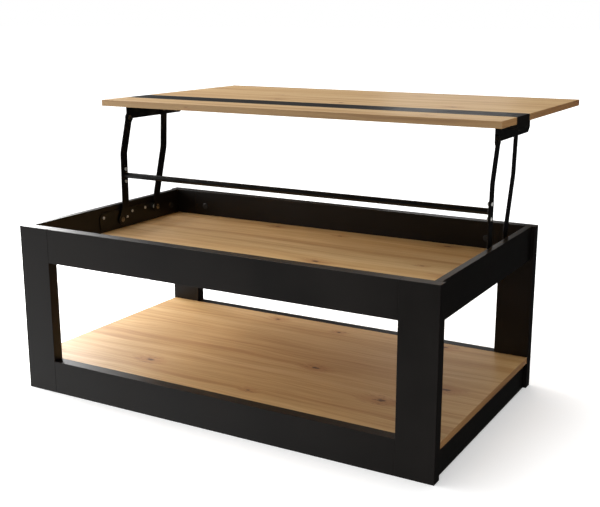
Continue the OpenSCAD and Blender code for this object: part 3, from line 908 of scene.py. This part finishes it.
def screw_template():
    """A pan head screw along Z: its head stands above z = 0, and its threaded shank goes down."""
    head = bmesh.new()
    profile = [(0, -NECK_H), (SCREW_D / 2, -NECK_H), (SCREW_D / 2, 0)]
    profile += dome(SCREW_HEAD_D / 2, SCREW_HEAD_H, SCREW_RIM)
    lathe(head, profile, Matrix.Identity(4), steps=32)
    a, b = RECESS_L / 2, RECESS_W / 2
    cross = [(a, -b), (a, b), (b, b), (b, a), (-b, a), (-b, b),
             (-a, b), (-a, -b), (-b, -b), (-b, -a), (b, -a), (b, -b)]
    recess = prism(cross, 2, SCREW_HEAD_H - RECESS_DEPTH, SCREW_HEAD_H + RECESS_DEPTH)
    template = combined(head, recess, "DIFFERENCE")
    whole = bmesh.new()
    whole.from_mesh(template)
    thread = [(0, -SCREW_L), (TIP_R, -SCREW_L)]
    pitch = (SCREW_L - THREAD_ENDS) / THREAD_TURNS
    for k in range(THREAD_TURNS):
        z = -SCREW_L + TIP_H + k * pitch
        thread += [(THREAD_ROOT_R, z), (SCREW_D / 2, z + CREST_AT * pitch)]
    thread += [(THREAD_ROOT_R, -THREAD_TOP), (0, -THREAD_TOP)]
    lathe(whole, thread, Matrix.Identity(4), steps=20)
    result = bpy.data.meshes.new("screw_template")
    whole.to_mesh(result)
    whole.free()
    return result


def bracket_screws():
    template = screw_template()
    plate_low, plate_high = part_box("right_lower_bracket")
    bar_low, bar_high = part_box("right_upper_bracket")
    lower = bmesh.new()
    for k, step in enumerate(LOWER_SCREW_STEPS):
        at = (JOINT_AT["lift"].y + step, plate_high.z - LOWER_SCREW_DROP)
        spin = Matrix.Rotation(FIRST_SPIN + LOWER_SCREW_SPIN * k, 4, "Z")
        add_copy(lower, template, along_x(at, plate_low.x, -1) @ spin)
    add_piece("lower_bracket_screws_piece", mirrored(lower), [ZINC], "lower_bracket_screws")
    upper = bmesh.new()
    x = (bar_low.x + bar_high.x - PLATE_T) / 2
    for k, step in enumerate(UPPER_SCREW_STEPS):
        place = Matrix.Translation((x, bar_low.y + step, bar_high.z - PLATE_T))
        turn = Matrix.Rotation(math.pi, 4, "X") @ Matrix.Rotation(UPPER_SCREW_SPIN * k, 4, "Z")
        add_copy(upper, template, place @ turn)
    add_piece("upper_bracket_screws_piece", mirrored(upper), [ZINC], "upper_bracket_screws")


# ---------- crossbar ----------

def crossbar_frame():
    """The crossbar's (y, z) centre and the unit steps along and across its flanges."""
    low_bend, high_bend = [
        on_arm(JOINT_AT["lift"].yz, share * ARM_LENGTH, offset) for share, offset in FRONT_BENDS
    ]
    along = (high_bend - low_bend).normalized()
    centre = low_bend.lerp(high_bend, CROSSBAR_SHARE)
    return centre, along, Vector((-along.y, along.x))


def weld_bead(mesh_data, centre, seat):
    """A rippled fillet of weld round the tube, with its wide side on the flange at seat."""
    outer = CROSSBAR_D / 2
    profile = [(outer - BEAD_ROOT, 0), (outer + BEAD, 0)]
    for k in range(1, BEAD_STEPS):
        turn = math.pi / 2 * k / BEAD_STEPS
        profile.append((outer + BEAD * (1 - math.sin(turn)), BEAD * (1 - math.cos(turn))))
    profile += [(outer, BEAD), (outer - BEAD_ROOT, BEAD)]

    def ripple(angle, k):
        return BEAD_RIPPLE * math.sin(BEAD_RIPPLES * angle) if 0 < k < BEAD_STEPS - 1 else 0

    lathe(mesh_data, profile, along_x(centre, seat, -1), steps=72, wave=ripple, hollow=True)


def crossbar():
    """A tube with a bolted flange and a weld bead at each end."""
    centre, along, across = crossbar_frame()
    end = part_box("arm_crossbar")[1].x
    inner_face = end - FLANGE_T
    corner = Vector((FLANGE_L / 2, FLANGE_W / 2))
    outline = [centre + s * along + n * across for s, n in rounded_box(-corner, corner, FLANGE_CORNER)]
    bolt_holes = [circle(centre + k * BOLT_STEP * along, BOLT_D) for k in SIDES]
    mesh_data = plate([tuple(p) for p in outline], bolt_holes, inner_face, end, PLATE_ROUND)
    weld_bead(mesh_data, centre, inner_face + BEAD_SINK)
    mirrored(mesh_data)
    outer = CROSSBAR_D / 2
    inner = outer - CROSSBAR_WALL
    tube = [(inner, 0), (outer, 0), (outer, 2 * end), (inner, 2 * end)]
    lathe(mesh_data, tube, along_x(centre, -end), steps=48, hollow=True)
    add_piece("arm_crossbar_piece", mesh_data, [STEEL], "arm_crossbar")


def nut_template():
    """A hex nut along +Z with a chamfered outer face."""
    past = 0.001 * MM
    wide, face = 1.2 * NUT_D / 2, NUT_FACE_SHARE * NUT_D / 2
    cone = bmesh.new()
    profile = [(0, -1 * MM), (wide, -1 * MM), (wide, NUT_H - NUT_CHAMFER_H),
               (face, NUT_H + past), (0, NUT_H + past)]
    lathe(cone, profile, Matrix.Identity(4), steps=48)
    return combined(prism(circle((0, 0), NUT_D, 6), 2, 0, NUT_H), cone, "INTERSECT")


def crossbar_fittings():
    """Button head bolts through the arms, with hex nuts on the flanges."""
    centre, along = crossbar_frame()[:2]
    arm_low, arm_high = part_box("right_front_arm")
    nut_seat = arm_low.x - FLANGE_T
    nut = nut_template()
    head = [(0, 0)] + dome(BOLT_HEAD_D / 2, BOLT_HEAD_H, BOLT_RIM)
    bolts = bmesh.new()
    nuts = bmesh.new()
    for k in SIDES:
        at = centre + k * BOLT_STEP * along
        shank(bolts, at, nut_seat - NUT_H, arm_high.x, BOLT_D)
        lathe(bolts, head, along_x(at, arm_high.x, 1))
        add_copy(nuts, nut, along_x(at, nut_seat, -1) @ Matrix.Rotation(NUT_SPIN * k, 4, "Z"))
    add_piece("crossbar_bolts_piece", mirrored(bolts), [ZINC], "crossbar_bolts")
    add_piece("crossbar_nuts_piece", mirrored(nuts), [ZINC], "crossbar_nuts")


def cam_caps():
    """Moulded caps over the cam locks, on the inner faces of the rails."""
    mesh_data = bmesh.new()
    for node in NODE_SLOTS:
        if not node.endswith("_rail"):
            continue
        low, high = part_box(node)
        z = (low.z + high.z) / 2
        for end in SIDES:
            if node.startswith(("left", "right")):
                side = -1 if node.startswith("left") else 1
                face = low.x if side > 0 else high.x
                place = along_x((end * (high.y - CAM_BACK), z), face, -side)
            else:
                side = -1 if node.startswith("front") else 1
                face = low.y if side > 0 else high.y
                place = Matrix.Translation((end * (high.x - CAM_BACK), face, z))
                place = place @ Matrix.Rotation(side * math.pi / 2, 4, "X")
            lathe(mesh_data, CAP_PROFILE, place, steps=36)
    add_piece("frame_cam_caps_piece", mesh_data, [BLACK_PLASTIC], "frame_cam_caps")


# ---------- finishes of the CAD nodes that stay ----------

def dress_cad_nodes():
    for node, piece in frame["nodes"].items():
        material = SLOT_MATERIALS[NODE_SLOTS[node]]
        for material_slot in piece.material_slots:
            material_slot.material = material


# ---------- stage ----------

def add_lamp(name, kind, towards, power):
    """A lamp of a kind, turned to shine along a direction, and the lamp's data."""
    data = bpy.data.lights.new(name, kind)
    data.energy = power
    lamp = bpy.data.objects.new(name, data)
    lamp.rotation_euler = Vector(towards).to_track_quat("-Z", "Y").to_euler()
    bpy.context.scene.collection.objects.link(lamp)
    return lamp, data


def area_light(name, location, aim, size, power):
    lamp, data = add_lamp(name, "AREA", Vector(aim) - Vector(location), power)
    data.shape = "RECTANGLE"
    data.size, data.size_y = size
    lamp.location = location
    lamp.visible_camera = False


def sun_light(name, towards, power, angle):
    data = add_lamp(name, "SUN", towards, power)[1]
    data.angle = math.radians(angle)


def white_background(world, strength):
    made = world.node("Background")
    made.inputs["Color"].default_value = (1, 1, 1, 1)
    world.feed(made.inputs["Strength"], strength)
    return made.outputs[0]


def by_ray(world, kind, others, these):
    """One background for the rays of a kind and another for the others."""
    made = world.node("MixShader")
    for socket, value in zip(made.inputs, (world.node("LightPath").outputs[kind], others, these)):
        world.feed(socket, value)
    return made.outputs[0]


def surroundings():
    """A white backdrop, a sloping fill for matt surfaces, and a dim room with one bright patch low
    at the front left for surfaces to mirror."""
    studio_world = bpy.data.worlds.new("studio_world")
    studio_world.use_nodes = True
    studio_world.cycles.sampling_method = "NONE"
    world = Nodes(studio_world.node_tree)
    direction = world.node("TexCoord").outputs["Generated"]
    facing = world.node("VectorMath", operation="DOT_PRODUCT")
    world.feed(facing.inputs[0], direction)
    world.feed(facing.inputs[1], Vector(PATCH_AT).normalized())
    cosine = facing.outputs["Value"]
    room = world.remap(cosine, -1, 1, ROOM_DIM, ROOM_LIT, "LINEAR")
    mirrored_room = world.remap(cosine, PATCH_EDGE, PATCH_FULL, room, PATCH_GLOW)
    sides = world.node("SeparateXYZ")
    world.feed(sides.inputs[0], direction)
    fill = world.remap(sides.outputs["X"], -1, 1, FILL_LEFT, FILL_RIGHT, "LINEAR")
    lit = by_ray(world, "Is Diffuse Ray", white_background(world, mirrored_room),
                 white_background(world, fill))
    shown = by_ray(world, "Is Camera Ray", lit, white_background(world, 1.0))
    world.feed(world.node("OutputWorld").inputs["Surface"], shown)
    bpy.context.scene.world = studio_world
    bpy.context.scene.view_settings.view_transform = "Standard"


def studio_floor():
    """A pale matt floor, which the satin boards don't mirror."""
    floor_data = bmesh.new()
    bmesh.ops.create_grid(floor_data, x_segments=8, y_segments=8, size=FLOOR_SIZE)
    floor_mesh = bpy.data.meshes.new("studio_floor")
    floor_data.to_mesh(floor_mesh)
    floor_data.free()
    floor = bpy.data.objects.new("studio_floor", floor_mesh)
    floor.visible_glossy = False
    s = Shader("studio_floor")
    tone = s.noise(s.place("xyz", (3, 3, 3)), detail=3)
    colour = s.ramp(tone, [(0.3, (0.90, 0.90, 0.90)), (0.7, (0.92, 0.92, 0.92))])
    floor_mesh.materials.append(s.finish(colour, 0.9, constants={
        "Specular IOR Level": 0.0,
        "Emission Color": (1, 1, 1, 1),
        "Emission Strength": FLOOR_GLOW,
    }))
    bpy.context.scene.collection.objects.link(floor)


def studio():
    surroundings()
    studio_floor()
    sun_light("key_sun", towards=(0.38, -0.22, -1.0), power=1.85, angle=45)
    area_light("left_softbox", location=(-1.8, 0.25, 0.85), aim=(0, 0.1, 0.1), size=(1.6, 0.9), power=54)
    area_light("rear_panel", location=(-1.5, 5.0, 1.12), aim=(0.25, 0.4, 0.7), size=(0.95, 0.5), power=4.5)


def camera():
    data = bpy.data.cameras.new("view")
    data.lens = CAMERA_LENS
    data.sensor_width = SENSOR_WIDTH
    data.clip_end = CLIP_END
    view = bpy.data.objects.new("view", data)
    view.location = CAMERA_AT
    view.rotation_euler = (math.radians(CAMERA_PITCH), 0, math.radians(CAMERA_TURN))
    bpy.context.scene.collection.objects.link(view)
    bpy.context.scene.camera = view


camera()
studio()
black_boards()
oak_boards()
centre_strip()
arms()
lower_brackets()
upper_brackets()
pivots()
bracket_screws()
crossbar()
crossbar_fittings()
cam_caps()
dress_cad_nodes()
